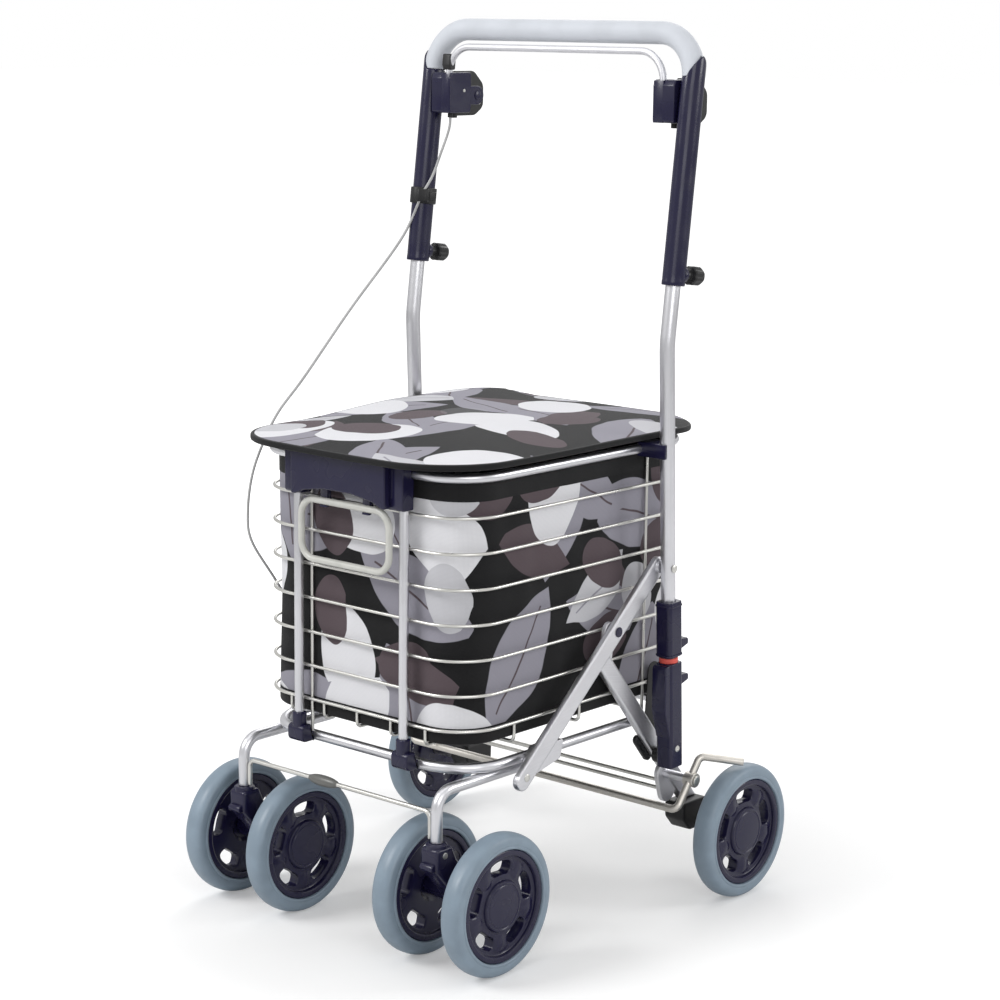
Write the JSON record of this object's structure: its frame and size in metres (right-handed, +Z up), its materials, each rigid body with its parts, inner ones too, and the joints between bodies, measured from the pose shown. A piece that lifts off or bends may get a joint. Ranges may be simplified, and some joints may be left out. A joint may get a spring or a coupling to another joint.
{
  "type": "shopping rollator",
  "caption": "Folding shopping rollator with a wire basket, lined bag, flat lid, twin front casters, sliding push handle and hand brake.",
  "frame": {"origin": "on the floor under the middle of the bounding box, midway between the front and rear axles", "axes": "+X to the left of the person who pushes, +Y back towards that person, +Z up"},
  "size_m": [0.4804, 0.5088, 0.9469],
  "materials": {
    "tyre_grey": "blue-grey moulded tread, matte",
    "navy_plastic": "navy moulded plastic, satin",
    "aluminium_tube": "clear anodised aluminium, satin",
    "steel_axle": "zinc plated steel, satin",
    "bright_wire": "silver painted wire, satin",
    "bag_fabric": "woven polyester, printed, matte",
    "grip_foam": "pale grey foam, matte",
    "black_plastic": "black moulded plastic, satin",
    "cable_grey": "pale grey sleeve, semi-gloss"
  },
  "bodies": {
    "frame": {"base_frame": "aluminium_tube", "caster_tube_left": "aluminium_tube", "caster_tube_right": "aluminium_tube", "front_leg_left": "aluminium_tube", "front_leg_right": "aluminium_tube", "post_left": "aluminium_tube", "post_right": "aluminium_tube", "post_foot_left": "navy_plastic", "post_foot_right": "navy_plastic", "rim_clip_left": "navy_plastic", "rim_clip_right": "navy_plastic", "front_plate": "navy_plastic", "rim_tube": "aluminium_tube", "basket_wire": "bright_wire", "bag": "bag_fabric", "front_cross_rod": "bright_wire", "brake_cable": "cable_grey"},
    "lid": {"lid": "bag_fabric"},
    "carry_loop": {"carry_loop": "bright_wire"},
    "caster_left": {"caster_fork_left": "navy_plastic", "caster_axle_left": "steel_axle"},
    "wheel_front_outer_left": {"tyre_front_outer_left": "tyre_grey", "hub_front_outer_left": "navy_plastic"},
    "wheel_front_inner_left": {"tyre_front_inner_left": "tyre_grey", "hub_front_inner_left": "navy_plastic"},
    "caster_right": {"caster_fork_right": "navy_plastic", "caster_axle_right": "steel_axle"},
    "wheel_front_outer_right": {"tyre_front_outer_right": "tyre_grey", "hub_front_outer_right": "navy_plastic"},
    "wheel_front_inner_right": {"tyre_front_inner_right": "tyre_grey", "hub_front_inner_right": "navy_plastic"},
    "rear_legs": {"rear_leg_left": "aluminium_tube", "rear_leg_right": "aluminium_tube", "rear_foot_left": "black_plastic", "rear_foot_right": "black_plastic", "rear_axle_left": "steel_axle", "rear_axle_right": "steel_axle", "rear_rod_upper": "bright_wire", "rear_rod_lower": "bright_wire"},
    "wheel_rear_left": {"tyre_rear_left": "tyre_grey", "hub_rear_left": "navy_plastic"},
    "wheel_rear_right": {"tyre_rear_right": "tyre_grey", "hub_rear_right": "navy_plastic"},
    "uprights": {"upright_left": "aluminium_tube", "upright_right": "aluminium_tube"},
    "lock_housings": {"lock_housing_left": "navy_plastic", "lock_housing_right": "navy_plastic"},
    "lock_collar_left": {"lock_collar_left": "navy_plastic"},
    "lock_collar_right": {"lock_collar_right": "navy_plastic"},
    "handle": {"sleeve_left": "navy_plastic", "sleeve_right": "navy_plastic", "lever_block_left": "navy_plastic", "lever_block_right": "navy_plastic", "grip": "grip_foam", "handle_tube": "aluminium_tube", "cable_band": "black_plastic"},
    "knob_left": {"knob_left": "black_plastic"},
    "knob_right": {"knob_right": "black_plastic"},
    "brake_lever": {"brake_lever": "steel_axle"},
    "brake_bar": {"brake_bar": "bright_wire"}
  },
  "joints": [
    {"name": "lid_hinge", "type": "hinge", "parent": "frame", "child": "lid", "pos_m": [0, 0.182, 0.502], "axis": [-1, 0, 0], "range_deg": [0, 70]},
    {"name": "carry_loop_hinge", "type": "hinge", "parent": "frame", "child": "carry_loop", "pos_m": [0, -0.2066, 0.4615], "axis": [-1, 0, 0], "range_deg": [0, 90]},
    {"name": "caster_left_swivel", "type": "hinge", "parent": "frame", "child": "caster_left", "pos_m": [0.1396, -0.218, 0.1375], "axis": [0, 0, 1], "continuous": true},
    {"name": "wheel_front_outer_left_spin", "type": "hinge", "parent": "caster_left", "child": "wheel_front_outer_left", "pos_m": [0.1866, -0.18, 0.07436], "axis": [-1, 0, 0], "continuous": true},
    {"name": "wheel_front_inner_left_spin", "type": "hinge", "parent": "caster_left", "child": "wheel_front_inner_left", "pos_m": [0.0926, -0.18, 0.07436], "axis": [-1, 0, 0], "continuous": true},
    {"name": "caster_right_swivel", "type": "hinge", "parent": "frame", "child": "caster_right", "pos_m": [-0.1396, -0.218, 0.1375], "axis": [0, 0, 1], "continuous": true},
    {"name": "wheel_front_outer_right_spin", "type": "hinge", "parent": "caster_right", "child": "wheel_front_outer_right", "pos_m": [-0.1866, -0.18, 0.07436], "axis": [-1, 0, 0], "continuous": true},
    {"name": "wheel_front_inner_right_spin", "type": "hinge", "parent": "caster_right", "child": "wheel_front_inner_right", "pos_m": [-0.0926, -0.18, 0.07436], "axis": [-1, 0, 0], "continuous": true},
    {"name": "fold", "type": "hinge", "parent": "frame", "child": "rear_legs", "pos_m": [0, 0.03, 0.315], "axis": [-1, 0, 0], "range_deg": [0, 55], "deforming": ["brake_cable"]},
    {"name": "wheel_rear_left_spin", "type": "hinge", "parent": "rear_legs", "child": "wheel_rear_left", "pos_m": [0.2274, 0.18, 0.07436], "axis": [-1, 0, 0], "continuous": true},
    {"name": "wheel_rear_right_spin", "type": "hinge", "parent": "rear_legs", "child": "wheel_rear_right", "pos_m": [-0.2274, 0.18, 0.07436], "axis": [-1, 0, 0], "continuous": true},
    {"name": "upright_fold", "type": "hinge", "parent": "frame", "child": "uprights", "pos_m": [0, 0.09922, 0.375], "axis": [-1, 0, 0], "range_deg": [0, 38.2]},
    {"name": "housing_slide", "type": "slide", "parent": "uprights", "child": "lock_housings", "axis": [0, 0.0461, -0.9989], "range_m": [0, 0.051]},
    {"name": "lock_collar_left_slide", "type": "slide", "parent": "uprights", "child": "lock_collar_left", "axis": [0, -0.0461, 0.9989], "range_m": [0, 0.015], "stiffness_N_per_m": 400, "springref_m": -0.004},
    {"name": "lock_collar_right_slide", "type": "slide", "parent": "uprights", "child": "lock_collar_right", "axis": [0, -0.0461, 0.9989], "range_m": [0, 0.015], "stiffness_N_per_m": 400, "springref_m": -0.004},
    {"name": "handle_slide", "type": "slide", "parent": "uprights", "child": "handle", "axis": [0, 0.1219, 0.9925], "range_m": [-0.04, 0.06], "deforming": ["brake_cable"]},
    {"name": "knob_left_turn", "type": "hinge", "parent": "handle", "child": "knob_left", "pos_m": [0.1815, 0.10541, 0.68744], "axis": [0, 0.9925, -0.1219], "range_deg": [-180, 180]},
    {"name": "knob_right_turn", "type": "hinge", "parent": "handle", "child": "knob_right", "pos_m": [-0.1815, 0.10541, 0.68744], "axis": [0, 0.9925, -0.1219], "range_deg": [-180, 180]},
    {"name": "brake_lever_squeeze", "type": "hinge", "parent": "handle", "child": "brake_lever", "pos_m": [0, 0.152, 0.862], "axis": [-1, 0, 0], "range_deg": [0, 6.5], "stiffness_Nm_per_rad": 1.2, "springref_deg": -20.05},
    {"name": "brake_bar_turn", "type": "hinge", "parent": "rear_legs", "child": "brake_bar", "pos_m": [0, 0.131, 0.136], "axis": [-1, 0, 0], "range_deg": [0, 2.2]}
  ],
  "couplings": [
    {"joint": "upright_fold", "follows": "fold", "ratio": 0.692},
    {"joint": "housing_slide", "follows": "fold", "m_per_rad": 0.0524},
    {"joint": "brake_bar_turn", "follows": "brake_lever_squeeze", "ratio": 0.338}
  ]
}
